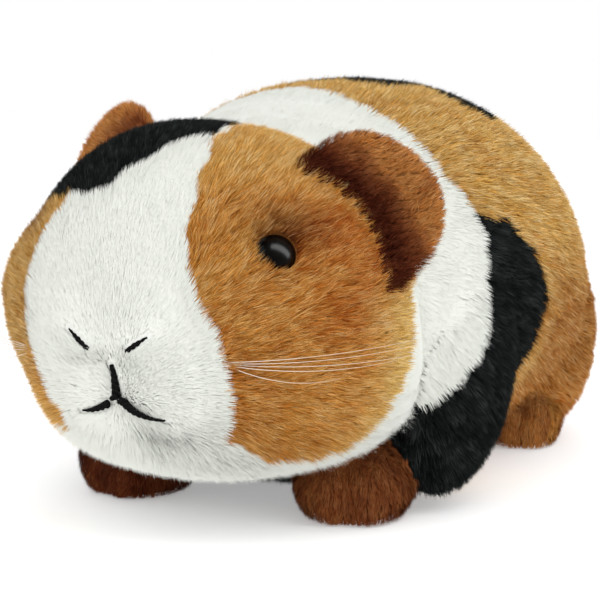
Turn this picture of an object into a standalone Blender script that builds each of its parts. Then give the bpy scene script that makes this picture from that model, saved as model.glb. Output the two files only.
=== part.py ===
"""Plush guinea pig, crouching with its belly and four paws on the floor.

Metres, +Z up. The toy faces -Y, its own left side is +X, and the origin is on the floor
under the middle of the toy. Each sewn and stuffed piece (head, trunk, legs, paws, ears) is
one closed solid whose surface is the tip of the pile, so the outline is the toy's own.
Where two pieces are sewn together, the one behind is hollowed to take the one in front.
"""

import math

import bmesh
import bpy
from mathutils import Matrix, Vector
from mathutils.bvhtree import BVHTree

MM = 0.001

# Driving sizes of the toy.
NOSE_Y = -115 * MM
RUMP_Y = 117.6 * MM
SEAM_GAP = 0.4 * MM

HEAD_LENGTH = 97 * MM
HEAD_HALF_WIDTH = 57.5 * MM
HEAD_MIDDLE_Z = 55 * MM
HEAD_RISE = 47 * MM
HEAD_DROP = 39 * MM
HEAD_ROLL = math.radians(3.5)
HEAD_SEAM_DEPTH = 68 * MM

TRUNK_FRONT_Y = -74 * MM
TRUNK_HALF_WIDTH = 70 * MM
TRUNK_MIDDLE_Z = 48 * MM
TRUNK_RISE = 71 * MM
TRUNK_DROP = 52 * MM

EYE_RADIUS = 6.0 * MM
THREAD_RADIUS = 1.1 * MM

# Faces round and along the head and the trunk.
HEAD_MESH = (42, 30)
TRUNK_MESH = (34, 22)


def smooth_value(stations, at):
    """The value at one place on a smooth line through (place, value) stations."""
    if at <= stations[0][0]:
        return stations[0][1]
    if at >= stations[-1][0]:
        return stations[-1][1]
    index = next(i for i, station in enumerate(stations) if station[0] >= at) - 1
    (x0, y0), (x1, y1) = stations[index], stations[index + 1]

    def slope(i):
        if i <= 0 or i >= len(stations) - 1:
            return 0.0
        before, here, after = stations[i - 1], stations[i], stations[i + 1]
        left = (here[1] - before[1]) / (here[0] - before[0])
        right = (after[1] - here[1]) / (after[0] - here[0])
        return 0.0 if left * right <= 0 else 2 * left * right / (left + right)

    span = x1 - x0
    t = (at - x0) / span
    rise0, rise1 = slope(index) * span, slope(index + 1) * span
    return (
        (2 * t**3 - 3 * t**2 + 1) * y0
        + (t**3 - 2 * t**2 + t) * rise0
        + (3 * t**2 - 2 * t**3) * y1
        + (t**3 - t**2) * rise1
    )


def squared(value, power):
    """A sine or cosine pushed outwards, so that a round section turns boxier as power grows."""
    return math.copysign(abs(value) ** (2 / power), value)


def material(name, colour, roughness):
    made = bpy.data.materials.new(name)
    made.use_nodes = True
    shader = made.node_tree.nodes["Principled BSDF"]
    shader.inputs["Base Color"].default_value = (*colour, 1)
    shader.inputs["Roughness"].default_value = roughness
    shader.inputs["Metallic"].default_value = 0
    return made


class Toy:
    """The toy's pieces and the grown copies of them that cut their neighbours."""

    def __init__(self):
        self.pieces = bpy.data.collections.new("plush_guinea_pig")
        self.cutters = bpy.data.collections.new("cutters")
        for collection in (self.pieces, self.cutters):
            bpy.context.scene.collection.children.link(collection)

    def add(self, name, bm, finish):
        """Adds a piece, and a copy of it grown by the seam gap as a hidden cutter."""
        bmesh.ops.recalc_face_normals(bm, faces=bm.faces)
        mesh = bpy.data.meshes.new(name)
        bm.to_mesh(mesh)
        mesh.shade_smooth()
        mesh.materials.append(finish)
        piece = bpy.data.objects.new(name, mesh)
        self.pieces.objects.link(piece)

        bm.normal_update()
        normals = [vert.normal.copy() for vert in bm.verts]
        for vert, normal in zip(bm.verts, normals):
            vert.co += normal * SEAM_GAP
        grown_mesh = bpy.data.meshes.new("grown_" + name)
        bm.to_mesh(grown_mesh)
        bm.free()
        grown = bpy.data.objects.new("grown_" + name, grown_mesh)
        grown.hide_render = True
        grown.display_type = "WIRE"
        self.cutters.objects.link(grown)
        return piece

    def cut(self, name, *neighbours):
        """Hollows one piece to take its neighbours, a seam gap clear of each."""
        for neighbour in neighbours:
            trim = bpy.data.objects[name].modifiers.new("room_for_" + neighbour, "BOOLEAN")
            trim.operation = "DIFFERENCE"
            trim.solver = "EXACT"
            trim.object = bpy.data.objects["grown_" + neighbour]


def stuffed_form(length, half_width, rise, drop, shape, segments, rings):
    """A bmesh of a stuffed bag lying along Y, from y = 0 at the front to y = length.

    shape holds lines of (place along the bag, factor): wide, high and low scale the size,
    lift moves the middle, pear narrows the top, boxy squares the section and blunt the ends.
    """
    bm = bmesh.new()
    bmesh.ops.create_uvsphere(bm, u_segments=segments, v_segments=rings, radius=1)
    for vert in bm.verts:
        along = (1 - vert.co.z) / 2
        round_ring = math.sqrt(max(0.0, 1 - vert.co.z**2))
        side, up = (vert.co.x / round_ring, vert.co.y / round_ring) if round_ring > 1e-6 else (0, 0)
        blunt = smooth_value(shape["blunt"], along)
        ring = max(0.0, 1 - abs(vert.co.z) ** blunt) ** (1 / blunt)
        boxy = smooth_value(shape["boxy"], along)
        side, up = squared(side, boxy), squared(up, boxy)
        wide = half_width * smooth_value(shape["wide"], along)
        tall = rise * smooth_value(shape["high"], along)
        if up < 0:
            tall = drop * smooth_value(shape["low"], along)
        pear = smooth_value(shape["pear"], along)
        vert.co = Vector((
            wide * ring * side * (1 - pear * up),
            along * length,
            smooth_value(shape["lift"], along) + tall * ring * up,
        ))
    return bm


HEAD_SHAPE = {
    "wide": [(0, 0.87), (0.12, 0.87), (0.3, 0.93), (0.55, 0.98), (1, 0.90)],
    "high": [(0, 1.10), (0.15, 1.10), (0.35, 1.09), (0.6, 1.03), (1, 0.95)],
    "low": [(0, 0.95), (0.15, 0.98), (0.35, 1.0), (0.6, 1.0), (1, 1.0)],
    "lift": [(0, -6 * MM), (0.2, -3 * MM), (0.5, 0), (1, 0)],
    "pear": [(0, 0.04), (0.3, 0.10), (0.6, 0.14), (1, 0.05)],
    "boxy": [(0, 2.3), (0.5, 2.3), (1, 2.0)],
    "blunt": [(0, 2.4), (0.5, 2.2), (1, 2.0)],
}

TRUNK_SHAPE = {
    "wide": [(0, 0.92), (0.3, 0.97), (0.6, 0.99), (1, 0.88)],
    "high": [(0, 0.90), (0.3, 0.96), (0.55, 0.97), (1, 0.88)],
    "low": [(0, 0.9), (0.5, 1.0), (1, 1.0)],
    "lift": [(0, 0), (0.5, 0), (1, -4 * MM)],
    "pear": [(0, 0.05), (0.5, 0.03), (1, 0.05)],
    "boxy": [(0, 2.2), (0.5, 2.2), (1, 2.1)],
    "blunt": [(0, 2.8), (0.5, 2.3), (1, 2.3)],
}

# The face is sewn on a little towards the toy's right, and its right eye sits further round.
FACE_SHIFT = -1.8 * MM
EYE_PLACES = {"left": (29.8, 22.2, 19.4), "right": (-42, 35.2, 18.9)}

# Soft hollows (-) and swellings (+) of the face: middle x, z from the face's own middle line,
# radius, push.
FACE_RELIEF = [
    (16 * MM, -14 * MM, 14 * MM, 2.6 * MM),
    (-16 * MM, -14 * MM, 14 * MM, 2.6 * MM),
    (0, -13 * MM, 5.5 * MM, -3.0 * MM),
    (0, 4 * MM, 13 * MM, 1.5 * MM),
]
EYE_HOLLOW_RADIUS = 11 * MM
EYE_HOLLOW_DEPTH = 2.2 * MM

# The filling sits higher in the right cheek than in the left.
RIGHT_CHEEK_RELIEF = [
    (-50 * MM, 9 * MM, 16 * MM, 4.2 * MM),
    (-42 * MM, -25 * MM, 18 * MM, -4.4 * MM),
]


def shape_face(bm):
    """Pushes the front of the head out at the muzzle and in at the mouth and eyes."""
    relief = [(x + FACE_SHIFT, z, radius, push) for x, z, radius, push in FACE_RELIEF]
    relief += RIGHT_CHEEK_RELIEF
    for x, _, z in EYE_PLACES.values():
        relief.append((x * MM, z * MM, EYE_HOLLOW_RADIUS, -EYE_HOLLOW_DEPTH))
    bm.normal_update()
    moves = []
    for vert in bm.verts:
        push = 0.0
        for x, z, radius, height in relief:
            reach = math.hypot(vert.co.x - x, vert.co.z - z) / radius
            push += height * math.exp(-reach * reach)
        moves.append(vert.normal * push * min(1.0, max(0.0, -4 * vert.normal.y)))
    for vert, move in zip(bm.verts, moves):
        vert.co += move


# The flanks are drawn in low down, between the foreleg and the hind foot: middle y, z,
# reach along and up, push.
FLANK_HOLLOW = (24 * MM, 8 * MM, 42 * MM, 28 * MM, -18 * MM)


def hollow_flanks(bm):
    """Draws both flanks of the trunk in, so that the hind feet stand clear."""
    y, z, along, up, push = FLANK_HOLLOW
    for vert in bm.verts:
        reach = math.hypot((vert.co.y - y) / along, (vert.co.z - z) / up)
        drawn = push * math.exp(-reach * reach) * min(1.0, abs(vert.co.x) / (40 * MM))
        vert.co.x += drawn if vert.co.x > 0 else -drawn


def flatten_to_floor(bm):
    """Sets the lowest points on the floor, where the filling settles flat."""
    for vert in bm.verts:
        vert.co.z = max(vert.co.z, 0.0)


def ellipsoid(centre, radii, turn=None, segments=16, rings=10):
    bm = bmesh.new()
    bmesh.ops.create_uvsphere(bm, u_segments=segments, v_segments=rings, radius=1)
    place = Matrix.Translation(centre) @ (turn or Matrix.Identity(4)) @ Matrix.Diagonal((*radii, 1))
    bmesh.ops.transform(bm, matrix=place, verts=bm.verts)
    return bm


def trim_back(bm, point, outward):
    """Cuts a form off flat on its hidden side, where it is sewn to its neighbour."""
    geometry = bm.verts[:] + bm.edges[:] + bm.faces[:]
    bmesh.ops.bisect_plane(bm, geom=geometry, plane_co=point, plane_no=outward, clear_outer=True)
    bmesh.ops.holes_fill(bm, edges=[edge for edge in bm.edges if edge.is_boundary])


def head_place():
    return Matrix.Translation((0, NOSE_Y, HEAD_MIDDLE_Z)) @ Matrix.Rotation(HEAD_ROLL, 4, "Y")


# Where each ear is sewn on: middle of its base in the head, then the direction along the base
# and the direction it stands out. The right ear sits further back and stands up more.
EAR_PLACES = {
    "left": ((41.8, 42.8, 28.7), (0.72, 0.28, -0.63), (0.74, 0.50, 0.50)),
    "right": ((-36, 56, 31), (-0.72, 0.25, -0.64), (-0.56, 0.58, 0.58)),
}
EAR_HALF_LENGTH = 19.5 * MM
EAR_REACH = 20.5 * MM
EAR_FULLNESS = 2.3
EAR_HALF_THICKNESS = 4.5 * MM
EAR_CUP = 6 * MM


def ear_mesh(word):
    """A thick rounded flap whose rim curls forwards; its lower half is buried in the head."""
    base, along, out = (Vector(values) for values in EAR_PLACES[word])
    along.normalize()
    out = (out - out.dot(along) * along).normalized()
    face = along.cross(out)
    if face.y > 0:
        face.negate()
    bm = bmesh.new()
    bmesh.ops.create_uvsphere(bm, u_segments=18, v_segments=12, radius=1)
    for vert in bm.verts:
        x, z, thickness = vert.co
        reach = min(1.0, math.hypot(x, z))
        if reach > 0:
            x, z = (reach * squared(value / reach, EAR_FULLNESS) for value in (x, z))
        full = math.copysign(math.sqrt(max(0.0, 1 - reach**3)), thickness)
        vert.co = (
            base * MM
            + along * x * EAR_HALF_LENGTH
            + out * z * EAR_REACH
            + face * (full * EAR_HALF_THICKNESS + EAR_CUP * (reach**2 - 0.5))
        )
    bmesh.ops.transform(bm, matrix=head_place(), verts=bm.verts)
    return bm


TOE_NOTCH = 0.2
TOE_NOTCH_ANGLE = math.radians(13)


def paw_mesh(side, paw):
    """A flat-soled paw: a low ellipsoid whose front edge is notched into two round toes."""
    middle, radii = paw
    bm = bmesh.new()
    bmesh.ops.create_uvsphere(bm, u_segments=24, v_segments=9, radius=1)
    for vert in bm.verts:
        angle = math.atan2(vert.co.x, -vert.co.y)
        notch = TOE_NOTCH * math.exp(-((angle / TOE_NOTCH_ANGLE) ** 2))
        vert.co.x *= 1 - notch
        vert.co.y *= 1 - notch
    place = (
        Matrix.Translation(on_side(side, middle))
        @ Matrix.Rotation(side * PAW_HEADING, 4, "Z")
        @ Matrix.Diagonal((*on_side(1, radii), 1))
    )
    bmesh.ops.transform(bm, matrix=place, verts=bm.verts)
    flatten_to_floor(bm)
    return bm


# Nose and mouth stitches as points (x, z) from the middle line of the face, in millimetres.
# They are sewn by hand, so the two sides differ.
STITCHES = {
    "philtrum_stitch": [(1.2, -7), (1.4, -10), (1.3, -15.5)],
    "nostril_stitch_left": [(4.5, -4.2), (7.5, -2), (11, 0.5)],
    "nostril_stitch_right": [(-4.8, -5), (-8.5, -3), (-12.5, -0.3)],
    "mouth_stitch_left": [(4.2, -15.8), (8, -17), (12, -18.4), (16.5, -19.4)],
    "mouth_stitch_right": [(-1.2, -17.2), (-4, -19), (-9, -20.6)],
}


def stitch_mesh(face, points):
    """A thread laid on the face: a round tube through the points, half sunk in the pile."""
    curve = bpy.data.curves.new("stitch", "CURVE")
    curve.dimensions = "3D"
    curve.bevel_depth = THREAD_RADIUS
    curve.bevel_resolution = 1
    curve.use_fill_caps = True
    spline = curve.splines.new("POLY")
    spline.points.add(len(points) - 1)
    for knot, (x, z) in zip(spline.points, points):
        hit = face.ray_cast(Vector((FACE_SHIFT + x * MM, -1, z * MM)), Vector((0, 1, 0)))[0]
        knot.co = (*hit, 1)
    holder = bpy.data.objects.new("stitch", curve)
    bpy.context.scene.collection.objects.link(holder)
    mesh = bpy.data.meshes.new_from_object(holder.evaluated_get(bpy.context.evaluated_depsgraph_get()))
    bpy.data.objects.remove(holder)
    bm = bmesh.new()
    bm.from_mesh(mesh)
    bmesh.ops.remove_doubles(bm, verts=bm.verts, dist=0.01 * MM)
    bmesh.ops.transform(bm, matrix=head_place(), verts=bm.verts)
    return bm


# Middle and radii of each leg and paw on the left side, in millimetres. The right side
# mirrors them. A leg stops at LEG_SEAM_X, where it is sewn to the trunk.
FOREPAW = ((33.5, -51, 10), (16, 17.5, 14))
HINDPAW = ((43, 59, 9.5), (12.5, 16, 14))
FORELEG = ((50, -25, 38), (17.5, 24.5, 35.5))
THIGH = ((41, 68.5, 36), (22, 26, 34))
PAW_HEADING = 0.3
FORELEG_LEAN = math.radians(-30)
LEG_SEAM_X = 42 * MM


def on_side(side, values):
    """A place or set of radii in millimetres, on the left (1) or the right (-1), in metres."""
    x, y, z = values
    return Vector((side * x, y, z)) * MM


def leg_mesh(side, leg, lean):
    """The upper part of a leg: an ellipsoid cut off flat where it is sewn to the trunk."""
    middle, radii = leg
    bm = ellipsoid(on_side(side, middle), on_side(1, radii), Matrix.Rotation(lean, 4, "X"))
    trim_back(bm, Vector((side * LEG_SEAM_X, 0, 0)), Vector((-side, 0, 0)))
    flatten_to_floor(bm)
    return bm


def build():
    for old in list(bpy.data.objects):
        bpy.data.objects.remove(old)
    toy = Toy()

    tan = material("tan_plush", (0.39, 0.19, 0.05), 0.9)
    white = material("white_plush", (0.82, 0.85, 0.78), 0.9)
    black = material("black_plush", (0.012, 0.013, 0.014), 0.9)
    brown = material("brown_plush", (0.12, 0.04, 0.012), 0.9)
    eye_black = material("eye_plastic", (0.005, 0.005, 0.006), 0.1)
    thread = material("black_thread", (0.01, 0.01, 0.01), 0.6)

    bm = stuffed_form(HEAD_LENGTH, HEAD_HALF_WIDTH, HEAD_RISE, HEAD_DROP, HEAD_SHAPE, *HEAD_MESH)
    shape_face(bm)
    face = BVHTree.FromBMesh(bm)
    trim_back(bm, Vector((0, HEAD_SEAM_DEPTH, 0)), Vector((0, 1, 0)))
    bmesh.ops.transform(bm, matrix=head_place(), verts=bm.verts)
    toy.add("head", bm, tan)

    trunk_length = RUMP_Y - TRUNK_FRONT_Y
    bm = stuffed_form(trunk_length, TRUNK_HALF_WIDTH, TRUNK_RISE, TRUNK_DROP, TRUNK_SHAPE, *TRUNK_MESH)
    bmesh.ops.translate(bm, vec=(0, TRUNK_FRONT_Y, TRUNK_MIDDLE_Z), verts=bm.verts)
    hollow_flanks(bm)
    flatten_to_floor(bm)
    toy.add("trunk", bm, white)

    for name, points in STITCHES.items():
        toy.add(name, stitch_mesh(face, points), thread)
        toy.cut("head", name)

    for side, word in ((1, "left"), (-1, "right")):
        eye_centre = head_place() @ (Vector(EYE_PLACES[word]) * MM)
        toy.add(f"eye_{word}", ellipsoid(eye_centre, (EYE_RADIUS,) * 3), eye_black)
        toy.cut("head", f"eye_{word}")

        toy.add(f"ear_{word}", ear_mesh(word), brown)
        toy.cut(f"ear_{word}", "head")

        toy.add(f"forepaw_{word}", paw_mesh(side, FOREPAW), brown)
        toy.cut(f"forepaw_{word}", "head")

        toy.add(f"foreleg_{word}", leg_mesh(side, FORELEG, FORELEG_LEAN), black)
        toy.cut(f"foreleg_{word}", "head", f"forepaw_{word}")

        toy.add(f"hindpaw_{word}", paw_mesh(side, HINDPAW), brown)
        toy.add(f"thigh_{word}", leg_mesh(side, THIGH, 0), tan)
        toy.cut(f"thigh_{word}", f"hindpaw_{word}")

        toy.cut("trunk", f"forepaw_{word}", f"foreleg_{word}", f"thigh_{word}", f"hindpaw_{word}")
    toy.cut("trunk", "head")


build()
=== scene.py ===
"""Plush guinea pig in tan, white and black pile fabric, crouching on a pale table.

Metres. The toy faces -Y, its own left side is +X and it stands on z = 0. One sewn and stuffed
hide carries the pile, which is cut in pieces by panel, then come eyes, stitches and whiskers.
"""

import math

import bmesh
import bpy
import numpy as np
from mathutils import Matrix, Quaternion, Vector
from mathutils.bvhtree import BVHTree


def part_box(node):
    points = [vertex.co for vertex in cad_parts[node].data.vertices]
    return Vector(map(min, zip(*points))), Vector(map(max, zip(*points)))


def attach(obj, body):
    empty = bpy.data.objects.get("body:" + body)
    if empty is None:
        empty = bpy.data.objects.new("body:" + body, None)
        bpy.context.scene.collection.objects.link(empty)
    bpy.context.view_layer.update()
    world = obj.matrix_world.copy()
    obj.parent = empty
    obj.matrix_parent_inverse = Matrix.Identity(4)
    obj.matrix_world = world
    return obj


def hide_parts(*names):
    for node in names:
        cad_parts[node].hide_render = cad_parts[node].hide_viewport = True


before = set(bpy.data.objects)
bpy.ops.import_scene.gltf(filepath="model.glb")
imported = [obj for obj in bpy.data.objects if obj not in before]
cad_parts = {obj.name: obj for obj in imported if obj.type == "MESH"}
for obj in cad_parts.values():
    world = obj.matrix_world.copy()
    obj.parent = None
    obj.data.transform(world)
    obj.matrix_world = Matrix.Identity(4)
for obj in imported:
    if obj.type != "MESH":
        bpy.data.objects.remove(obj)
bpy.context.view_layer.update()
MM = 0.001

# ---- The table and the light -----------------------------------------------------------
# The toy stands on a pale seamless table under large soft panels, with white card all round.
# The lens looks at its left cheek from a little above the table. The card and the table are
# dark in the shine of the beads, as if black flags stood before them.

scene = bpy.context.scene
scene.view_settings.view_transform = "Standard"

VIEW_AZIMUTH = math.radians(26.5)
VIEW_ELEVATION = math.radians(7)
VIEW_DISTANCE = 500 * MM
AIM_POINT = Vector((-10.5, 5, 49.4)) * MM


def towards(azimuth, elevation):
    """The direction from the toy out to a place round it: 0 is its front, 90 its left."""
    level = math.cos(elevation)
    return Vector((math.sin(azimuth) * level, -math.cos(azimuth) * level, math.sin(elevation)))


camera = bpy.data.objects.new("camera", bpy.data.cameras.new("camera"))
camera.data.lens = 98
camera.data.clip_start = 10 * MM
camera.rotation_mode = "QUATERNION"
camera.location = AIM_POINT + towards(VIEW_AZIMUTH, VIEW_ELEVATION) * VIEW_DISTANCE
camera.rotation_quaternion = (-towards(VIEW_AZIMUTH, VIEW_ELEVATION)).to_track_quat("-Z", "Y")
scene.collection.objects.link(camera)
scene.camera = camera


def soft_panel(name, azimuth, elevation, distance, width, height, watts, roll=0):
    """A lit panel that faces the toy, turned about its middle by roll."""
    lamp = bpy.data.lights.new(name, "AREA")
    lamp.shape = "RECTANGLE"
    lamp.size = width
    lamp.size_y = height
    lamp.energy = watts
    panel = bpy.data.objects.new(name, lamp)
    direction = towards(math.radians(azimuth), math.radians(elevation))
    panel.location = AIM_POINT + direction * distance
    panel.rotation_mode = "QUATERNION"
    panel.rotation_quaternion = direction.to_track_quat("Z", "Y") @ Quaternion((0, 0, 1), math.radians(roll))
    scene.collection.objects.link(panel)
    return panel


# Each panel's azimuth, elevation and distance, then its width, height, watts and roll. The key
# and side panels don't show in the beads, and the window shows in nothing but their gloss.
soft_panel("key_panel", 5, 55, 0.9, 1.0, 0.9, 1.6).visible_glossy = False
soft_panel("back_panel", 185, 55, 1.0, 0.9, 0.7, 0.3)
soft_panel("side_panel", 70, 40, 0.8, 0.8, 0.17, 1.4, -45).visible_glossy = False
soft_panel("window", 76, 40, 0.8, 1.4, 0.36, 4.6, -45).visible_diffuse = False
soft_panel("glint", -32, 6, 0.8, 0.03, 0.03, 0.25)

world = bpy.data.worlds.new("white_card")
scene.world = world
world.use_nodes = True
card = world.node_tree.nodes["Background"]
card.inputs["Color"].default_value = (1.0, 1.0, 1.0, 1)
seen = world.node_tree.nodes.new("ShaderNodeLightPath")
card_level = world.node_tree.nodes.new("ShaderNodeMapRange")
card_level.inputs["To Min"].default_value = 0.93
card_level.inputs["To Max"].default_value = 1.0
card_in_gloss = world.node_tree.nodes.new("ShaderNodeMix")
card_in_gloss.inputs["B"].default_value = 0.05
world.node_tree.links.new(seen.outputs["Is Camera Ray"], card_level.inputs["Value"])
world.node_tree.links.new(card_level.outputs["Result"], card_in_gloss.inputs["A"])
world.node_tree.links.new(seen.outputs["Is Glossy Ray"], card_in_gloss.inputs["Factor"])
world.node_tree.links.new(card_in_gloss.outputs["Result"], card.inputs["Strength"])


def new_material(name):
    """A material with its Principled shader, and the means to add nodes to it."""
    made = bpy.data.materials.new(name)
    made.use_nodes = True
    return made, made.node_tree.nodes, made.node_tree.links, made.node_tree.nodes["Principled BSDF"]


table_finish, nodes, links, shader = new_material("table_card")
shader.inputs["Roughness"].default_value = 0.9
shader.inputs["Specular IOR Level"].default_value = 0.1
shader.inputs["Emission Color"].default_value = (1, 1, 1, 1)
card_grain = nodes.new("ShaderNodeTexNoise")
card_grain.inputs["Scale"].default_value = 900
card_tone = nodes.new("ShaderNodeMapRange")
card_tone.inputs["To Min"].default_value = 0.93
card_tone.inputs["To Max"].default_value = 0.97
card_place = nodes.new("ShaderNodeTexCoord")
links.new(card_place.outputs["Object"], card_grain.inputs["Vector"])
links.new(card_grain.outputs["Fac"], card_tone.inputs["Value"])
table_seen = nodes.new("ShaderNodeLightPath")
table_in_gloss = nodes.new("ShaderNodeMix")
table_in_gloss.inputs["B"].default_value = 0.05
glow_in_gloss = nodes.new("ShaderNodeMix")
glow_in_gloss.inputs["A"].default_value = 0.34
glow_in_gloss.inputs["B"].default_value = 0.02
links.new(card_tone.outputs["Result"], table_in_gloss.inputs["A"])
for mix in (table_in_gloss, glow_in_gloss):
    links.new(table_seen.outputs["Is Glossy Ray"], mix.inputs["Factor"])
links.new(table_in_gloss.outputs["Result"], shader.inputs["Base Color"])
links.new(glow_in_gloss.outputs["Result"], shader.inputs["Emission Strength"])


def add_piece(name, bm, finish):
    """A finished piece at the origin, with its place in its mesh."""
    mesh = bpy.data.meshes.new(name)
    bm.to_mesh(mesh)
    bm.free()
    mesh.shade_smooth()
    mesh.materials.append(finish)
    piece = bpy.data.objects.new(name, mesh)
    scene.collection.objects.link(piece)
    return piece


bm = bmesh.new()
bmesh.ops.create_circle(bm, cap_ends=True, segments=96, radius=4)
table = add_piece("table", bm, table_finish)

# ---- The hide --------------------------------------------------------------------------
# Knitted backing of the pile fabric: head, trunk, legs, paws and ears sewn into one stuffed
# skin. It lies under the solids by the depth of the pile and runs on under the thread and
# the beads.

FLESH = sorted(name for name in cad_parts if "stitch" not in name and "eye" not in name)
THREADS = sorted(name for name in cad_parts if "stitch" in name)
EYES = ("eye_left", "eye_right")
SEAM_OVERLAP = 0.7 * MM
WEAVE_STEP = 1.3 * MM
SEAM_SOFTENING = 8
KIND_BLEND = 5

# How deep the hide lies under the tips of the pile in each kind of panel, and how long the
# fibre is.
PILE = {
    "head": (2.9 * MM, 5.0 * MM),
    "trunk": (3.4 * MM, 5.9 * MM),
    "foreleg": (3.0 * MM, 5.2 * MM),
    "thigh": (3.2 * MM, 5.6 * MM),
    "forepaw": (1.2 * MM, 2.7 * MM),
    "hindpaw": (1.2 * MM, 2.7 * MM),
    "ear": (0.9 * MM, 3.2 * MM),
}
KINDS = list(PILE)


def solid_of(name):
    """A CAD solid as a merged bmesh."""
    made = bmesh.new()
    made.from_mesh(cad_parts[name].data)
    bmesh.ops.remove_doubles(made, verts=made.verts, dist=0.01 * MM)
    made.normal_update()
    return made


panels = bpy.data.meshes.new("panels")
joined = bmesh.new()
corners, faces, face_panel = [], [], []
for name in FLESH + THREADS + list(EYES):
    solid = solid_of(name)
    if name in FLESH:
        first = len(corners)
        corners += [vert.co.copy() for vert in solid.verts]
        faces += [[first + vert.index for vert in face.verts] for face in solid.faces]
        face_panel += [name] * len(solid.faces)
    grown = [vert.co + vert.normal * SEAM_OVERLAP * (name in FLESH) for vert in solid.verts]
    for vert, place in zip(solid.verts, grown):
        vert.co = place
    solid.to_mesh(panels)
    solid.free()
    joined.from_mesh(panels)
solids_tree = BVHTree.FromPolygons(corners, faces)
joined.to_mesh(panels)
joined.free()

hide = bpy.data.objects.new("hide", panels)
scene.collection.objects.link(hide)
knit = hide.modifiers.new("one_skin", "REMESH")
knit.mode = "VOXEL"
knit.voxel_size = WEAVE_STEP
soften = hide.modifiers.new("soft_seams", "SMOOTH")
soften.factor = 0.5
soften.iterations = SEAM_SOFTENING
hide.data = bpy.data.meshes.new_from_object(hide.evaluated_get(bpy.context.evaluated_depsgraph_get()))
hide.modifiers.clear()
bpy.data.meshes.remove(panels)


def places_of(mesh):
    """Where the mesh's vertices are."""
    values = np.empty(len(mesh.vertices) * 3, np.float32)
    mesh.vertices.foreach_get("co", values)
    return values.reshape(-1, 3).astype(float)


def normals_of(mesh):
    """Which way the mesh faces at its vertices."""
    values = np.empty(len(mesh.vertices) * 3, np.float32)
    mesh.vertex_normals.foreach_get("vector", values)
    return values.reshape(-1, 3).astype(float)


def unit(vectors):
    """Each vector at a length of one."""
    return vectors / np.maximum(np.linalg.norm(vectors, axis=1, keepdims=True), 1e-12)


outline = places_of(hide.data)
panel_of = [face_panel[solids_tree.find_nearest(place)[2]] for place in outline]
kind_of = np.array([KINDS.index(name.split("_")[0]) for name in panel_of])
links_between = np.empty(len(hide.data.edges) * 2, np.int32)
hide.data.edges.foreach_get("vertices", links_between)
links_between = links_between.reshape(-1, 2)


def spread(values, passes):
    """Evens a value out over the hide, a stitch further each pass."""
    count = len(values)
    ends = np.concatenate((links_between[:, 0], links_between[:, 1]))
    others = np.concatenate((links_between[:, 1], links_between[:, 0]))
    share = np.maximum(np.bincount(ends, minlength=count), 1)
    for _ in range(passes):
        around = np.bincount(ends, weights=values[others], minlength=count) / share
        values = (values + around) / 2
    return values


depth = spread(np.array([PILE[KINDS[kind]][0] for kind in kind_of]), KIND_BLEND)

# A stitch's line starts this far inside its box, and the mouth and lip lines run on by this
# much to meet under the nose.
STITCH_INSET = 1.1 * MM
MOUTH_REACH = 1.3 * MM
LIP_REACH = 1.2 * MM
ROUTE_STEP = 0.5 * MM


def thread_route(name):
    """Where a face stitch runs, as points on the head from its inner end to its outer end."""
    low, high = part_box(name)
    x_in, x_out = low.x + STITCH_INSET, high.x - STITCH_INSET
    z_in, z_out = low.z + STITCH_INSET, high.z - STITCH_INSET
    bow = 0.0
    if name.endswith("right"):
        x_in, x_out = x_out, x_in
    if name.startswith("mouth"):
        z_in, z_out = z_out, z_in
        bow = 1.0
        x_in -= math.copysign(MOUTH_REACH, x_in)
    if name.startswith("philtrum"):
        z_in, z_out = z_out, z_in - LIP_REACH
    count = max(8, round(math.hypot(x_out - x_in, z_out - z_in) / ROUTE_STEP))
    route = []
    for step in range(count + 1):
        t = step / count
        fall = t + bow * t * (1 - t)
        start = Vector((x_in + (x_out - x_in) * t, -1, z_in + (z_out - z_in) * fall))
        route.append(solids_tree.ray_cast(start, Vector((0, 1, 0)))[0])
    return route


routes = {name: thread_route(name) for name in THREADS}
stitch_points = np.array([place for route in routes.values() for place in route])
eye_boxes = {name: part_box(name) for name in EYES}
eye_centres = np.array([(low + high) / 2 for low, high in eye_boxes.values()])
EYE_RADIUS = (eye_boxes["eye_left"][1].x - eye_boxes["eye_left"][0].x) / 2


def nearest_of(places, marks):
    """Distance to the nearest of a few marks, and the direction away from it."""
    best = np.full(len(places), 1.0)
    away = np.zeros((len(places), 3))
    for mark in marks:
        offset = places - mark
        reach = np.linalg.norm(offset, axis=1)
        closer = reach < best
        best[closer] = reach[closer]
        away[closer] = offset[closer]
    return best, unit(away)


# The pile is clipped shorter beside the stitches, so the hide rises there, but not under them.
CLIPPED = 0.9 * MM
to_stitch, _ = nearest_of(outline, stitch_points)
beside = np.exp(-((to_stitch / (6 * MM)) ** 2)) - np.exp(-((to_stitch / (2.2 * MM)) ** 2))
depth -= CLIPPED * beside
base = outline - normals_of(hide.data) * depth[:, None]
hide.data.vertices.foreach_set("co", base.astype(np.float32).ravel())
hide.data.update()
skin_normals = normals_of(hide.data)

# The pile of the head is brushed away from this point on the upper lip.
LIP = np.array((-2.6, -113, 38)) * MM
GRAVITY = np.array((0, 0, -1.0))


def of_kind(kinds, *names):
    """Which of the places belong to the named kinds of panel."""
    return np.isin(kinds, [KINDS.index(name) for name in names])


def along_surface(vectors, normals):
    """The part of each vector that lies in the cloth, as a unit vector."""
    return unit(vectors - normals * (vectors * normals).sum(axis=1, keepdims=True))


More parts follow.
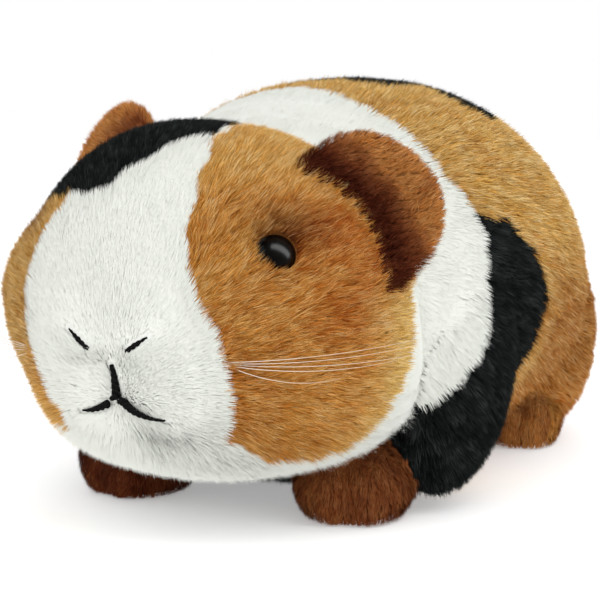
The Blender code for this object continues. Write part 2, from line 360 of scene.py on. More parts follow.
def brushed(places, normals, kinds):
    """The way the pile is brushed: off the lip, back over the body, out over ears and toes."""
    side = np.sign(places[:, 0])
    way = np.array((0, 1.0, 0)) + GRAVITY * (0.2 + 0.5 * np.abs(normals[:, :1]))
    for names, heading in (
        (("foreleg",), (0.1, 0.7, -1.0)),
        (("thigh",), (0.1, 1.0, -0.7)),
        (("forepaw", "hindpaw"), (0.15, -0.4, -1.0)),
        (("ear",), (0.74, 0.5, 0.4)),
    ):
        chosen = of_kind(kinds, *names)
        way[chosen] = heading
        way[chosen, 0] *= side[chosen]
    head = of_kind(kinds, "head")
    way[head] = unit(places[head] - LIP) + GRAVITY * 0.12
    return along_surface(way, normals)


# The dyes of the pile, and where each panel's dye ends. DARK_BROWN is also laid in as painted shade round the
# beads, in the cups of the ears and on the right forepaw, and darkens the other paws less.
WHITE = np.array((0.81, 0.825, 0.775))
BLACK = np.array((0.0160, 0.0190, 0.0182))
TAN = np.array((0.53, 0.282, 0.072))
GINGER = np.array((0.38, 0.128, 0.022))
STRAW = np.array((0.62, 0.425, 0.145))
BROWN = np.array((0.42, 0.178, 0.050))
DARK_BROWN = np.array((0.065, 0.0130, 0.0045))


def ripple(places, wavelength, seed):
    """A smooth value from -1 to 1 that wanders over the cloth, for uneven edges and tone."""
    draw = np.random.default_rng(seed)
    total = np.zeros(len(places))
    for _ in range(5):
        wave = draw.normal(size=3)
        wave *= draw.uniform(0.7, 1.5) * 2 * math.pi / (wavelength * np.linalg.norm(wave))
        total += np.sin(places @ wave + draw.uniform(0, 2 * math.pi))
    return total / 5 * 1.6


def stations(at, *pairs):
    """The value at a place on a line through a few (place, value) stations, in millimetres."""
    where, values = zip(*pairs)
    return np.interp(at, where, values)


def blend(first, second, share):
    """The first dye with a share of the second, from 0 to 1."""
    share = np.clip(share, 0, 1)[:, None]
    return first * (1 - share) + second * share


def head_tint(places):
    """White blaze and throat, black crown on the right, tan cheeks with painted shade round the eye."""
    x, y, z = (places / MM).T
    rear_edge = stations(
        z, (21, -87), (23, -79), (27, -76), (32, -74), (37, -72), (41, -69), (45, -67), (51, -64),
        (63, -62), (70, -45),
    )
    left_edge = stations(
        z, (30, 25.5), (34, 28), (41, 29.5), (47, 29), (54, 26.5), (59, 24), (66, 20.5), (72, 18),
        (78, 16.5), (88, 15), (96, 13.5), (101, 11),
    )
    right_edge = stations(
        z, (30, -17), (38, -20), (43, -23), (49, -27.5), (55, -31), (68, -32), (74, -32.5), (79, -29.5),
        (84, -24.5), (88, -22.5),
    )
    throat = stations(y, (-105, 29), (-95, 23), (-87, 22), (-75, 24), (-64, 31), (-45, 34))
    brow = stations(
        x, (-24, -100), (-15, -103), (-9, -101.5), (-3, -97), (1, -90.5), (4, -87.5), (8, -82.5), (12, -78)
    )
    crown_foot = stations(y, (-102, 88), (-90, 85), (-60, 76), (-47, 74))
    white = ((x > right_edge) & (x < left_edge) & (y < -60)) | (z < throat) | (y > rear_edge)
    black = (y > brow) & (z > crown_foot) & (x < stations(y, (-86, 10), (-80, 8), (-60, 7), (-45, 6)))

    # Where the tan turns redder and darker: beside the blaze, below the ear and on the swell of the cheek,
    # and in the eye's hollow, where it is painted shade.
    edge = np.where(x > 0, x - left_edge, right_edge - x)
    rust = np.exp(-((np.maximum(edge, 0) / 9) ** 2)) * np.exp(-(((z - 42) / 20) ** 2))
    socket = np.exp(-(((y + 84) / 11) ** 2) - ((z - 80) / 9) ** 2)
    below_ear = np.exp(-(((y + 73) / 7) ** 2) - ((z - 62) / 12) ** 2)
    cheek = np.exp(-(((y + 86) / 14) ** 2) - ((z - 60) / 13) ** 2)
    tone = 0.2 + 0.42 * rust + 0.84 * socket + 0.85 * below_ear + 0.6 * cheek
    tone += 0.16 * ripple(places, 13 * MM, 21) + 0.12 * ripple(places, 5 * MM, 24)
    tint = blend(TAN, GINGER, tone)
    pale = np.clip((y + 86) / 14, 0, 1) * np.clip((70 - z) / 10, 0, 1) + 0.5 * np.clip((z - 86) / 10, 0, 1)
    tint = blend(tint, STRAW, 0.8 * pale + 0.45 * (x < 0))
    tint *= (1 - 0.18 * np.clip((-25 - x) / 10, 0, 1))[:, None]

    # Painted shade round the beads: dark brown in their hollow, strongest above them, with a painted shadow
    # under the brow, and black at their front corner and in a thin rim, partly dark fibre and partly painted
    # shade where the bead sinks into the pile.
    to_eye, away = nearest_of(places, eye_centres)
    painted_brow_shadow = np.exp(-(((y + 90) / 7) ** 2) - ((z - 81) / 5) ** 2)
    tint = blend(tint, DARK_BROWN, 0.4 * painted_brow_shadow)
    over = np.clip(0.3 + 1.1 * away[:, 2] - 0.25 * away[:, 1], 0, 1)
    above = np.clip(0.3 + 0.9 * away[:, 2] + 0.5 * away[:, 1], 0.15, 1)
    tint = blend(tint, DARK_BROWN, above * np.exp(-(((to_eye - EYE_RADIUS) / (4.2 * MM)) ** 2)))
    tint = blend(tint, BLACK, (0.2 + over) * np.clip(2.2 - (to_eye - EYE_RADIUS) / (1.0 * MM), 0, 0.95))
    tint[white] = WHITE
    tint[black] = BLACK
    return tint


def body_tint(places):
    """White collar, black shoulders, tan back with a black patch on top."""
    x, y, z = (places / MM).T
    collar = stations(
        z, (27, -53), (30, -52), (34, -49), (38, -45), (42, -38), (50, -32), (57, -28), (67, -21.5),
        (75, -20.5), (80, -21.5), (90, -18.5), (113, -14),
    )
    shoulder = stations(
        z, (10, -18), (20, -12), (27, -5), (34, 0), (38, 3.5), (45, 7.5), (53, 10), (61, 8), (70, 0.5),
        (76, -7), (79, -16), (83, -30),
    )
    collar -= 6 * np.clip((x - 8) / 10, 0, 1) * np.clip((z - 84) / 6, 0, 1)
    black = (y >= collar) & (y < shoulder)
    black |= (z < 27) & (y < -18) & (y > -62)
    bearing = np.degrees(np.arctan2(y - 48, np.abs(x)))
    lobe = stations(
        bearing, (-90, 40), (-76, 44), (-64, 44), (-50, 29), (-42, 31), (-34, 44), (-22, 45), (0, 36),
        (40, 33), (90, 36),
    )
    black |= (np.hypot(x, y - 48) < lobe) & (z > 60)
    collar += 5 * np.clip((2 - x) / 6, 0, 1) * np.clip((z - 95) / 10, 0, 1)
    white = (y < collar) & ~((z < 27) & (y > -62))
    # The haunch turns redder and, as painted shade behind the shoulder, darker; low on the flanks the tan is
    # painted lighter, painted light against the shade near the table.
    haunch = np.clip((y + 2) / 25, 0, 1) * np.clip((72 - z) / 26, 0, 1)
    tone = 0.1 + 0.62 * haunch + 0.1 * ripple(places, 17 * MM, 22) + 0.1 * ripple(places, 5 * MM, 24)
    painted_shade_and_light = 0.92 - 0.14 * haunch + 0.2 * np.clip((28 - z) / 12, 0, 1)
    tint = blend(blend(TAN, STRAW, np.full(len(places), 0.6)), GINGER, tone) * painted_shade_and_light[:, None]
    tint[white] = WHITE
    tint[black] = BLACK
    return tint


def brown_tint(places, normals, kinds):
    """Brown with painted shade: dark down in the cup of the ear, less on the right ear, lighter on its rim,
    and darkest on the right paw.
    """
    from_head = np.array([head_tree.find_nearest(place)[3] for place in places]) / MM
    front = np.clip(0.3 - 1.5 * normals[:, 1], 0.15, 1)
    wander = ripple(places, 7 * MM, 23)
    left = places[:, 0] > 0
    # The cup of the ear darkens towards the head and on its front face: painted shade.
    ear_cup_painted_shade = np.clip(1.65 - from_head / 7.2, 0, 1) * front * np.where(left, 1, 0.45) + 0.12 * wander
    hind = of_kind(kinds, "hindpaw")
    # The right forepaw is darkest, with painted shade; the left forepaw is darker than the hind paws.
    paw_tone_and_painted_shade = np.where(hind, 0.04, np.where(left, 0.38, 0.75)) + 0.12 * wander
    is_ear = of_kind(kinds, "ear")
    share = np.clip(np.where(is_ear, ear_cup_painted_shade, paw_tone_and_painted_shade), 0, 1)[:, None]
    tint = BROWN ** (1 - share) * DARK_BROWN ** share
    heel = hind & (places[:, 1] > 51 * MM)
    tint[heel] = blend(TAN, GINGER, np.full(heel.sum(), 0.5))
    return tint


head_solid = solid_of("head")
head_tree = BVHTree.FromBMesh(head_solid)
head_solid.free()


def pile_tint(places, normals, kinds):
    """The pile's colour at places on the toy: its dye, with painted shade and painted light laid into it."""
    wander = np.stack([ripple(places, 9 * MM, seed) for seed in (11, 12, 13)], axis=1) * 0.8 * MM
    dyed = places + wander
    tint = body_tint(dyed)
    head = of_kind(kinds, "head")
    tint[head] = head_tint(dyed[head])
    brown = of_kind(kinds, "ear", "forepaw", "hindpaw")
    tint[brown] = brown_tint(places[brown], normals[brown], kinds[brown])
    return tint


def write_colours(mesh, name, values):
    """Keeps a colour for each vertex."""
    layer = mesh.attributes.new(name, "FLOAT_COLOR", "POINT")
    filled = np.ones((len(values), 4), np.float32)
    filled[:, :3] = values
    layer.data.foreach_set("color", filled.ravel())


def write_numbers(mesh, name, values):
    """Keeps a number for each vertex."""
    layer = mesh.attributes.new(name, "FLOAT", "POINT")
    layer.data.foreach_set("value", values.astype(np.float32))


# A tuft shows its dye about half its length along from its root, so it is dyed for that place.
fibre_length = np.array([PILE[kind][1] for kind in KINDS])
TINT_OFFSET = 0.5
hide_lie = brushed(base, skin_normals, kind_of)
shows_at = outline + hide_lie * (fibre_length[kind_of] * TINT_OFFSET)[:, None]
write_colours(hide.data, "dye_and_painted_light", pile_tint(shows_at, skin_normals, kind_of))

hide_finish, nodes, links, shader = new_material("knitted_backing")
shader.inputs["Roughness"].default_value = 0.95
shader.inputs["Specular IOR Level"].default_value = 0.1
dye_and_painted_light = nodes.new("ShaderNodeAttribute")
dye_and_painted_light.attribute_name = "dye_and_painted_light"
place = nodes.new("ShaderNodeTexCoord")
loops = nodes.new("ShaderNodeTexVoronoi")
loops.inputs["Scale"].default_value = 1400
shade = nodes.new("ShaderNodeMix")
shade.data_type = "RGBA"
shade.blend_type = "MULTIPLY"
shade.inputs["Factor"].default_value = 0.15
raise_loops = nodes.new("ShaderNodeBump")
raise_loops.inputs["Strength"].default_value = 0.5
raise_loops.inputs["Distance"].default_value = 0.3 * MM
links.new(place.outputs["Object"], loops.inputs["Vector"])
links.new(dye_and_painted_light.outputs["Color"], shade.inputs["A"])
links.new(loops.outputs["Distance"], shade.inputs["B"])
links.new(shade.outputs["Result"], shader.inputs["Base Color"])
links.new(loops.outputs["Distance"], raise_loops.inputs["Height"])
links.new(raise_loops.outputs["Normal"], shader.inputs["Normal"])
hide.data.materials.clear()
hide.data.materials.append(hide_finish)
hide.data.shade_smooth()
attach(hide, "root")
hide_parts(*FLESH)

# ---- The pile of the head --------------------------------------------------------------
# Synthetic fibre about 5 mm long, cut in fine tufts that lean away from the nose. It is
# shortest round the nose, mouth and eyes, and hangs free under the chin.

hide.data.calc_loop_triangles()
triangles = np.empty(len(hide.data.loop_triangles) * 3, np.int32)
hide.data.loop_triangles.foreach_get("vertices", triangles)
triangles = triangles.reshape(-1, 3)
edge_a = base[triangles[:, 1]] - base[triangles[:, 0]]
edge_b = base[triangles[:, 2]] - base[triangles[:, 0]]
triangle_area = np.linalg.norm(np.cross(edge_a, edge_b), axis=1) / 2
middle_x, middle_y, middle_z = base[triangles].mean(axis=1).T / MM
triangle_kind = kind_of[triangles[:, 0]]
vertex_length = spread(fibre_length[kind_of], 4)


def roots_in(chosen, density, draw):
    """Tuft roots strewn over some of the hide's triangles: place, normal, kind, length, depth."""
    picked = np.flatnonzero(chosen)
    wanted = triangle_area[picked] * density / MM**2
    count = np.floor(wanted + draw.random(len(picked))).astype(int)
    owner = np.repeat(triangles[picked], count, axis=0)
    a, b = draw.random((2, len(owner)))
    flip = a + b > 1
    a[flip], b[flip] = 1 - a[flip], 1 - b[flip]
    share = np.stack((1 - a - b, a, b), axis=1)
    places = (base[owner] * share[:, :, None]).sum(axis=1)
    normals = unit((skin_normals[owner] * share[:, :, None]).sum(axis=1))
    length = (vertex_length[owner] * share).sum(axis=1)
    return places, normals, kind_of[owner[:, 0]], length, (depth[owner] * share).sum(axis=1)


def gathered(places, size, draw):
    """Where the fibres of one lock gather: the middle of the roots that share a cell."""
    bent = places + np.stack([ripple(places, 3.2 * size, s) for s in (31, 32, 33)], axis=1) * 0.45 * size
    cells = np.floor(bent / size).astype(np.int64)
    key = (cells[:, 0] * 4096 + cells[:, 1]) * 4096 + cells[:, 2]
    _, lock, members = np.unique(key, return_inverse=True, return_counts=True)
    middle = np.stack([np.bincount(lock, weights=places[:, i]) for i in range(3)], axis=1) / members[:, None]
    bend = draw.normal(size=(len(members), 3)) * 0.14
    return middle[lock], bend[lock], draw.random(len(members))[lock]


def roughness_of(tint):
    """How uneven the fibre looks: 1 for dyed tan and brown, less for black, least for white."""
    bright = tint.max(axis=1)
    return np.where(bright > 0.7, 0.05, np.where(bright < 0.03, 0.6, 1.0))


# No tuft is rooted nearer than this to the thread, the edge of the bead or, on the underside,
# the floor. Each is rooted a little below the hide, and none goes through the table.
THREAD_CLEARANCE = 1.15 * MM
BEAD_CLEARANCE = -0.2 * MM
FLOOR_CLEARANCE = 2.5 * MM
ROOTED = 0.25 * MM
TABLE_GAP = 0.15 * MM

# The side of a tuft's own patch of the flattened panel.
PATCH = 0.003


def blades_of(name, joints):
    """Two triangles to a tuft, from its foot by its two shoulders to its tip."""
    count = len(joints)
    blade = np.array((0, 2, 1, 1, 2, 3))
    corner_of = ((np.arange(count) * 4)[:, None] + blade).ravel().astype(np.int32)
    mesh = bpy.data.meshes.new(name)
    mesh.vertices.add(count * 4)
    mesh.vertices.foreach_set("co", joints.astype(np.float32).ravel())
    mesh.loops.add(count * 6)
    mesh.loops.foreach_set("vertex_index", corner_of)
    mesh.polygons.add(count * 2)
    mesh.polygons.foreach_set("loop_start", np.arange(0, count * 6, 3, dtype=np.int32))
    mesh.update(calc_edges=True)
    return mesh, corner_of


def cut_tufts(name, chosen, density, seed, width, lean, lock_size, lock_pull, unwrap, finish):
    """Makes one coat piece of flat pointed tufts, bent once at the middle.

    lean is a tuft's angle from upright at the root and at the tip, and unwrap gives its
    place on the flattened panel, from 0 to 1 each way.
    """
    draw = np.random.default_rng(seed)
    roots, normals, kinds, length, pile_depth = roots_in(chosen, density, draw)
    to_stitch, from_stitch = nearest_of(roots, stitch_points)
    to_eye, _ = nearest_of(roots, eye_centres)
    keep = (to_stitch > THREAD_CLEARANCE) & (to_eye > EYE_RADIUS + BEAD_CLEARANCE)
    keep &= (normals[:, 2] > -0.8) | (roots[:, 2] > FLOOR_CLEARANCE)
    roots, normals, kinds, length, pile_depth = (v[keep] for v in (roots, normals, kinds, length, pile_depth))
    to_stitch, from_stitch, to_eye = (v[keep] for v in (to_stitch, from_stitch, to_eye))
    count = len(roots)
    middle, lock_bend, lock_chance = gathered(roots, lock_size, draw)

    # Its dye, and how uneven that makes it. White lies flatter and wider, but not where it
    # would cross into another dye, and under the chin every tuft hangs its own way.
    lie = brushed(roots, normals, kinds)
    shows_at = roots + normals * pile_depth[:, None] + lie * (length * TINT_OFFSET)[:, None]
    tint = pile_tint(shows_at, normals, kinds)
    rough = roughness_of(tint)
    hang = np.clip(-normals[:, 2] - 0.1, 0, 1)
    stray = np.maximum(np.sqrt(rough), np.clip(2.5 * (hang - 0.3), 0, 0.9))
    is_white = np.zeros(count)
    for further in (2, 5, 8):
        beyond = pile_tint(shows_at + lie * (further * MM), normals, kinds)
        is_white += (rough < 0.1) * (beyond.min(axis=1) > 0.6) / 3
    pale = (draw.random(count) < 0.3) * (rough > 0.9)
    tint = blend(tint, np.minimum(tint * 1.65, 0.9), 0.9 * pale)

    # Its lie, its lean and its length: parted at the thread, and shorter and more upright
    # round the thread and the bead.
    lock_bend *= stray[:, None]
    parted = np.clip(1 - to_stitch / (5 * MM), 0, 1)[:, None] * 0.25
    swirl = np.stack([ripple(roots, 16 * MM, s) for s in (41, 42, 43)], axis=1) * 0.16
    drift = swirl + lock_bend + draw.normal(size=(count, 3)) * 0.13 * stray[:, None]
    lie = along_surface(lie + from_stitch * parted + drift, normals)
    at_lip = np.exp(-((np.linalg.norm(roots - LIP, axis=1) / (13 * MM)) ** 2))
    at_bead = np.exp(-(((to_eye - EYE_RADIUS) / (2 * MM)) ** 2))
    upright = np.clip(0.12 * at_lip + 0.35 * at_bead, 0, 1)
    is_white *= np.clip(1.6 - 2.5 * hang, 0, 1)
    low_lean = (lean[0] - 0.2 * hang + 0.4 * is_white) * (1 - upright)
    low_lean += draw.normal(size=count) * 0.12 * stray
    high_lean = (lean[1] - 0.4 * hang + 0.2 * is_white) * (1 - 0.7 * upright)
    high_lean += draw.normal(size=count) * 0.16 * stray
    uneven_cut = stray * (0.34 * draw.random(count) + 0.12 * lock_chance - 0.22)
    length = length * (1 + 0.2 * hang) * (0.9 + uneven_cut)
    length *= np.clip(0.32 + to_stitch / (9 * MM), 0, 1)
    length *= np.clip(0.85 + (to_eye - EYE_RADIUS) / (12 * MM), 0, 1)
    length *= 1 - 0.1 * at_lip

    # Its foot, its two shoulders and its tip, which is drawn in towards the middle of its lock.
    low_way = normals * np.cos(low_lean)[:, None] + lie * np.sin(low_lean)[:, None]
    high_way = normals * np.cos(high_lean)[:, None] + lie * np.sin(high_lean)[:, None]
    foot = roots - normals * ROOTED
    knee = foot + low_way * (length * 0.45)[:, None]
    tip = knee + high_way * (length * 0.6)[:, None]
    inward = middle - roots
    inward -= normals * (inward * normals).sum(axis=1, keepdims=True)
    inward *= stray[:, None]
    tip += inward * lock_pull
    knee += inward * (lock_pull * 0.35)
    across = unit(np.cross(lie, normals))
    roll = draw.normal(size=count) * 0.4 * stray
    across = across * np.cos(roll)[:, None] + normals * np.sin(roll)[:, None]
    half = width / 2 * (0.75 + 0.5 * draw.random(count)) * (1 - 0.35 * pale) * (1 + 0.9 * is_white)
    half = half[:, None] * across
    joints = np.stack((foot, knee - half, knee + half, tip), axis=1)
    joints[:, :, 2] = np.maximum(joints[:, :, 2], TABLE_GAP)
    mesh, corner_of = blades_of(name, joints)

    write_colours(mesh, "dye_and_painted_light", np.repeat(tint, 4, axis=0))
    write_numbers(mesh, "along", np.tile((0, 0.5, 0.5, 1), count))
    chance = 0.5 + (0.65 * draw.random(count) + 0.35 * lock_chance - 0.5) * rough
    write_numbers(mesh, "chance", np.repeat(chance, 4))

    patch = PATCH * np.array(((0.5, 0), (0, 0.5), (1, 0.5), (0.5, 1)))
    flat = unwrap(roots, normals)[:, None, :] * 0.99 + PATCH + patch[None]
    layer = mesh.uv_layers.new(name="OFBake")
    layer.uv.foreach_set("vector", flat.reshape(-1, 2)[corner_of].astype(np.float32).ravel())

    # It is shaded mostly as the hide under it faces, so that the pile looks like one cloth.
    face_way = np.cross(across, high_way)
    face_way *= np.sign((face_way * normals).sum(axis=1, keepdims=True))
    shown = normals + unit(face_way) * (0.3 * rough)[:, None]
    shown += draw.normal(size=(count, 3)) * (0.06 * rough)[:, None]
    shown[:, 2] = np.maximum(shown[:, 2], -0.35)
    shown = unit(shown)
    mesh.polygons.foreach_set("use_smooth", np.ones(count * 2, bool))
    mesh.normals_split_custom_set_from_vertices(np.repeat(shown, 4, axis=0).astype(np.float32))
    mesh.materials.append(finish)
    piece = bpy.data.objects.new(name, mesh)
    scene.collection.objects.link(piece)
    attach(piece, "root")
    print(name, count, "tufts", count * 2, "triangles")
    return piece


# Each fibre is coloured darker and redder from tip to root: partly the fibre's lighter tips, partly painted
# shade down in the pile.
fibre_shade = bpy.data.node_groups.new("fibre_shade", "ShaderNodeTree")
for socket, kind, value in (
    ("Pile Colour", "NodeSocketColor", (0.5, 0.5, 0.5, 1)),
    ("Along", "NodeSocketFloat", 0.5),
    ("Chance", "NodeSocketFloat", 0.5),
    ("Root Depth", "NodeSocketFloat", 1.6),
    ("Tip Depth", "NodeSocketFloat", 0.9),
    ("Unevenness", "NodeSocketFloat", 0.3),
):
    fibre_shade.interface.new_socket(socket, in_out="INPUT", socket_type=kind).default_value = value
fibre_shade.interface.new_socket("Colour", in_out="OUTPUT", socket_type="NodeSocketColor")
group_in = fibre_shade.nodes.new("NodeGroupInput")
group_out = fibre_shade.nodes.new("NodeGroupOutput")
deepness = fibre_shade.nodes.new("ShaderNodeMapRange")
lot = fibre_shade.nodes.new("ShaderNodeMath")
lot.operation = "SUBTRACT"
lot.inputs[0].default_value = 0.5
uneven = fibre_shade.nodes.new("ShaderNodeMath")
uneven.operation = "MULTIPLY_ADD"
deepened = fibre_shade.nodes.new("ShaderNodeGamma")
for output, socket in (
    (group_in.outputs["Along"], deepness.inputs["Value"]),
    (group_in.outputs["Root Depth"], deepness.inputs["To Min"]),
    (group_in.outputs["Tip Depth"], deepness.inputs["To Max"]),
    (group_in.outputs["Chance"], lot.inputs[1]),
    (lot.outputs[0], uneven.inputs[0]),
    (group_in.outputs["Unevenness"], uneven.inputs[1]),
    (deepness.outputs["Result"], uneven.inputs[2]),
    (group_in.outputs["Pile Colour"], deepened.inputs["Color"]),
    (uneven.outputs[0], deepened.inputs["Gamma"]),
    (deepened.outputs["Color"], group_out.inputs["Colour"]),
):
    fibre_shade.links.new(output, socket)


def fibre_finish(name, root_depth, tip_depth, unevenness, roughness):
    """Synthetic fibre, dyed through, with a soft shine; darker and redder down in the pile, partly lighter
    tips and partly painted shade.
    """
    made, nodes, links, shader = new_material(name)
    shader.inputs["Roughness"].default_value = roughness
    shader.inputs["Specular IOR Level"].default_value = 0.04
    group = nodes.new("ShaderNodeGroup")
    group.node_tree = fibre_shade
    group.inputs["Root Depth"].default_value = root_depth
    group.inputs["Tip Depth"].default_value = tip_depth
    group.inputs["Unevenness"].default_value = unevenness
    for attribute, socket, output in (
        ("dye_and_painted_light", "Pile Colour", "Color"), ("along", "Along", "Fac"), ("chance", "Chance", "Fac")
    ):
        read = nodes.new("ShaderNodeAttribute")
        read.attribute_name = attribute
        links.new(read.outputs[output], group.inputs[socket])
    links.new(group.outputs["Colour"], shader.inputs["Base Color"])
    return made


long_fibre = fibre_finish("long_plush_fibre", 1.7, 0.97, 1.2, 0.55)


def head_unwrap(places, normals):
    """The head's panel laid flat round the nose."""
    out = unit(places - np.array((0, -60, 55)) * MM)
    bend = np.arccos(np.clip(-out[:, 1], -1, 1)) / math.pi
    bearing = np.arctan2(out[:, 2], out[:, 0])
    reach = 0.49 * np.clip(bend / 0.8, 0, 1)
    return 0.5 + reach[:, None] * np.stack((np.cos(bearing), np.sin(bearing)), axis=1)


LONG_LEAN = (0.6, 1.2)
on_head = of_kind(triangle_kind, "head")
in_face = middle_y < -88
on_left = middle_x >= 0
HEAD_PANELS = {
    "pile_face_left": on_head & in_face & on_left,
    "pile_face_right": on_head & in_face & ~on_left,
    "pile_cheek_left": on_head & ~in_face & on_left,
    "pile_cheek_right": on_head & ~in_face & ~on_left,
}
for seed, (name, chosen) in enumerate(HEAD_PANELS.items()):
    piece = cut_tufts(
        name, chosen, density=14.5, seed=100 + seed, width=0.20 * MM, lean=LONG_LEAN,
        lock_size=1.6 * MM, lock_pull=0.22, unwrap=head_unwrap, finish=long_fibre,
    )

# ---- The pile of the trunk and legs ----------------------------------------------------
# The same fibre, a little longer, brushed back from the neck and down over the flanks. The
# legs are of the same cloth and run into the trunk.


def body_unwrap(places, normals):
    """The trunk's panel slit along the belly and laid flat."""
    x, y, z = (places - np.array((0, 10, 52)) * MM).T
    round_it = np.arctan2(x, z) / (2 * math.pi) + 0.5
    along = np.arctan2(np.hypot(x, z), -y * 0.6) / math.pi
    return np.stack((round_it, along), axis=1)


on_body = of_kind(triangle_kind, "trunk", "foreleg", "thigh")
under = middle_z < 9
in_collar = middle_y < -18
in_rump = middle_y >= 48
in_flank = ~in_collar & ~in_rump

# Each panel of the body, with its tufts to the square millimetre.
BODY_PANELS = {
    "pile_collar_left": (on_body & ~under & in_collar & on_left, 7.6),
    "pile_collar_right": (on_body & ~under & in_collar & ~on_left, 7.6),
    "pile_flank_left": (on_body & ~under & in_flank & on_left, 6.8),
    "pile_flank_right": (on_body & ~under & in_flank & ~on_left, 6.8),
    "pile_rump_left": (on_body & ~under & in_rump & on_left, 6.6),
    "pile_rump_right": (on_body & ~under & in_rump & ~on_left, 6.6),
    "pile_belly": (on_body & under, 2.4),
}
for seed, (name, (chosen, density)) in enumerate(BODY_PANELS.items()):
    piece = cut_tufts(
        name, chosen, density=density, seed=200 + seed, width=0.29 * MM, lean=LONG_LEAN,
        lock_size=2.6 * MM, lock_pull=0.24, unwrap=body_unwrap, finish=long_fibre,
    )

# ---- The pile of the ears and paws -----------------------------------------------------
# Short brown velvet pile, brushed out towards the rim of each ear and down over the toes.
# The front and back of each are sewn from one cloth.

short_fibre = fibre_finish("short_plush_fibre", 1.35, 0.97, 0.5, 0.6)
BROWN_PANELS = ("ear_left", "ear_right", "forepaw_left", "forepaw_right", "hindpaw_left", "hindpaw_right")
for seed, name in enumerate(BROWN_PANELS):
    low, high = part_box(name)
    chosen = of_kind(triangle_kind, name.split("_")[0])
    chosen &= middle_x > 0 if name.endswith("left") else middle_x <= 0
    middle = np.array((low + high) / 2)
    span = np.array(high - low)

    def panel_unwrap(places, normals, middle=middle, span=span):
        """Front and back of the ear or paw side by side."""
        flat = (places - middle) / span.max() * 0.48
        back = normals[:, 1] > 0
        return np.stack((0.25 + flat[:, 0] + 0.5 * back, 0.5 + flat[:, 2]), axis=1)

    piece = cut_tufts(
        "pile_" + name, chosen, density=13, seed=300 + seed, width=0.22 * MM, lean=(0.45, 0.95),
        lock_size=1.8 * MM, lock_pull=0.4, unwrap=panel_unwrap, finish=short_fibre,
    )

# ---- The eyes --------------------------------------------------------------------------
# Glossy black plastic beads: a dome with a thin rim and a stem behind, pushed through the hide and set deep
# in the pile. The washer that would hold each one inside is not built.

eye_finish, nodes, links, shader = new_material("bead_plastic")
shader.inputs["Specular IOR Level"].default_value = 0.5
place = nodes.new("ShaderNodeTexCoord")
clouding = nodes.new("ShaderNodeTexNoise")
clouding.inputs["Scale"].default_value = 300
gloss = nodes.new("ShaderNodeMapRange")
gloss.inputs["To Min"].default_value = 0.2
gloss.inputs["To Max"].default_value = 0.27
depth_colour = nodes.new("ShaderNodeValToRGB")
depth_colour.color_ramp.elements[0].color = (0.001, 0.001, 0.001, 1)
depth_colour.color_ramp.elements[1].color = (0.004, 0.003, 0.002, 1)
links.new(place.outputs["Object"], clouding.inputs["Vector"])
links.new(clouding.outputs["Fac"], gloss.inputs["Value"])
links.new(clouding.outputs["Fac"], depth_colour.inputs["Fac"])
links.new(gloss.outputs["Result"], shader.inputs["Roughness"])
links.new(depth_colour.outputs["Color"], shader.inputs["Base Color"])
for name, centre in zip(EYES, eye_centres):
    surface = head_tree.find_nearest(Vector(centre))[0]
    outward = (surface - Vector(centre)).normalized()

    # Half the bead's outline, from the top of its dome to the end of its stem.
    bm = bmesh.new()
    profile = [(math.sin(a) * EYE_RADIUS, math.cos(a) * EYE_RADIUS) for a in np.linspace(0, 1.75, 16)]
    profile += [(EYE_RADIUS * 0.93, -1.8 * MM), (1.6 * MM, -2.0 * MM), (1.4 * MM, -5.2 * MM), (0, -5.4 * MM)]
    ring = [bm.verts.new((reach, 0, height)) for reach, height in profile]
    for one, other in zip(ring, ring[1:]):
        bm.edges.new((one, other))
    bmesh.ops.spin(
        bm, geom=bm.verts[:] + bm.edges[:], cent=(0, 0, 0), axis=(0, 0, 1), angle=2 * math.pi,
        steps=40, use_merge=True,
    )
    bmesh.ops.remove_doubles(bm, verts=bm.verts, dist=0.01 * MM)
    turn = outward.to_track_quat("Z", "Y").to_matrix().to_4x4()
    bmesh.ops.transform(bm, matrix=Matrix.Translation(Vector(centre)) @ turn, verts=bm.verts)
    bmesh.ops.recalc_face_normals(bm, faces=bm.faces)
    bead = add_piece(name.replace("eye", "eye_bead"), bm, eye_finish)
    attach(bead, "root")
    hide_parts(name)

# ---- The face stitches -----------------------------------------------------------------
# Nostrils, lip line and mouth in thick black three-strand thread, pulled down into the white
# pile until it stands level with the clipped tips.

thread_finish, nodes, links, shader = new_material("black_stitch_thread")
shader.inputs["Roughness"].default_value = 0.8
shader.inputs["Specular IOR Level"].default_value = 0.15
place = nodes.new("ShaderNodeTexCoord")
strands = nodes.new("ShaderNodeTexNoise")
strands.inputs["Scale"].default_value = 2500
strand_tone = nodes.new("ShaderNodeValToRGB")
strand_tone.color_ramp.elements[0].color = (0.002, 0.002, 0.002, 1)
strand_tone.color_ramp.elements[1].color = (0.012, 0.011, 0.011, 1)
links.new(place.outputs["Object"], strands.inputs["Vector"])
links.new(strands.outputs["Fac"], strand_tone.inputs["Fac"])
links.new(strand_tone.outputs["Color"], shader.inputs["Base Color"])

STRAND_RADIUS = 0.5 * MM
TWIST_LENGTH = 4.5 * MM

# How far each stitch is pulled down into its groove, and its thickness at its inner end,
# middle and outer end.
THREAD_FORM = {
    "philtrum": (-0.2 * MM, (0.6, 0.95, 1.3)),
    "mouth": (0.0 * MM, (1.2, 0.75, 0.25)),
    "nostril": (0.3 * MM, (0.6, 0.75, 0.25)),
}


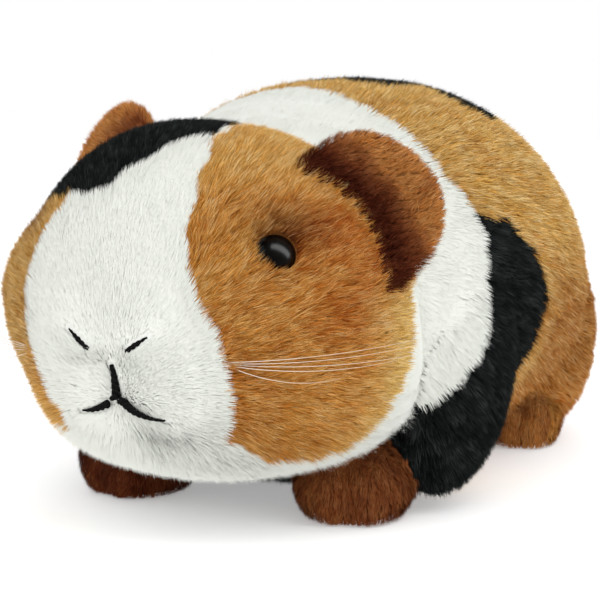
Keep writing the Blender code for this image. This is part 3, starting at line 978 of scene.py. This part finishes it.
def filament_mesh(name, lines, radius, sides):
    """Round filaments along lines of (x, y, z, thickness factor) points, as one mesh."""
    curve = bpy.data.curves.new(name, "CURVE")
    curve.dimensions = "3D"
    curve.bevel_depth = radius
    curve.bevel_resolution = sides
    curve.use_fill_caps = True
    for line in lines:
        spline = curve.splines.new("POLY")
        spline.points.add(len(line) - 1)
        for knot, (x, y, z, factor) in zip(spline.points, line):
            knot.co = (x, y, z, 1)
            knot.radius = factor
    holder = bpy.data.objects.new(name, curve)
    scene.collection.objects.link(holder)
    mesh = bpy.data.meshes.new_from_object(holder.evaluated_get(bpy.context.evaluated_depsgraph_get()))
    bpy.data.objects.remove(holder)
    bm = bmesh.new()
    bm.from_mesh(mesh)
    bmesh.ops.remove_doubles(bm, verts=bm.verts, dist=0.001 * MM)
    return bm


for name, route in routes.items():
    sink, thickness = THREAD_FORM[name.split("_")[0]]
    spine = [hit + Vector((0, sink, 0)) for hit in route]
    run = 0.0
    lines = [[], [], []]
    for index, knot in enumerate(spine):
        if index:
            run += (knot - spine[index - 1]).length
        ahead = spine[min(index + 1, len(spine) - 1)] - spine[max(index - 1, 0)]
        side = ahead.cross(Vector((0, 1, 0))).normalized()
        thick = float(np.interp(index / (len(spine) - 1), (0, 0.5, 1), thickness))
        for strand, line in enumerate(lines):
            turn = 2 * math.pi * (run / TWIST_LENGTH + strand / 3)
            twisted = knot + (side * math.cos(turn) + Vector((0, math.sin(turn), 0))) * STRAND_RADIUS * thick
            line.append((*twisted, thick))
    twist = filament_mesh(name, lines, STRAND_RADIUS, 2)
    thread = add_piece(name.replace("stitch", "thread"), twist, thread_finish)
    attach(thread, "root")
    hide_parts(name)

# ---- The whiskers ----------------------------------------------------------------------
# Five pale nylon filaments on each side, stitched into the cheek where the white ends and
# swept back, each thinning to a fine tip.

WHISKER_RADIUS = 0.11 * MM
WHISKER_ROOT = Vector((28, -109.6, 49.4)) * MM
WHISKER_TIPS = [(68, -85.5, 54.8), (66, -85, 52.9), (67, -81, 50.7), (62, -88, 49.4), (50, -95, 45)]
WHISKER_STEPS = 16

whisker_finish, nodes, links, shader = new_material("nylon_whisker")
shader.inputs["Roughness"].default_value = 0.3
shader.inputs["Specular IOR Level"].default_value = 0.5
place = nodes.new("ShaderNodeTexCoord")
streak = nodes.new("ShaderNodeTexNoise")
streak.inputs["Scale"].default_value = 220
streak_tone = nodes.new("ShaderNodeValToRGB")
streak_tone.color_ramp.elements[0].color = (0.60, 0.46, 0.33, 1)
streak_tone.color_ramp.elements[1].color = (0.85, 0.77, 0.66, 1)
links.new(place.outputs["Object"], streak.inputs["Vector"])
links.new(streak.outputs["Fac"], streak_tone.inputs["Fac"])
links.new(streak_tone.outputs["Color"], shader.inputs["Base Color"])

lines = []
for side in (1, -1):
    for index, tip in enumerate(WHISKER_TIPS):
        root = WHISKER_ROOT + Vector((0, 0.2 * index, -0.3 * index)) * MM
        end = Vector(tip) * MM
        sag = (1.5 + 0.5 * index) * MM
        line = []
        for step in range(WHISKER_STEPS + 1):
            t = step / WHISKER_STEPS
            place = root.lerp(end, t) - Vector((0, 0, sag * 4 * t * (1 - t) * 0.5))
            place += Vector((0.5, -0.8, 0)) * (3 * MM * 4 * t * (1 - t))
            line.append((side * place.x, place.y, place.z, 1 - 0.75 * t))
        lines.append(line)
whiskers = add_piece("whiskers", filament_mesh("whiskers", lines, WHISKER_RADIUS, 1), whisker_finish)
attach(whiskers, "root")
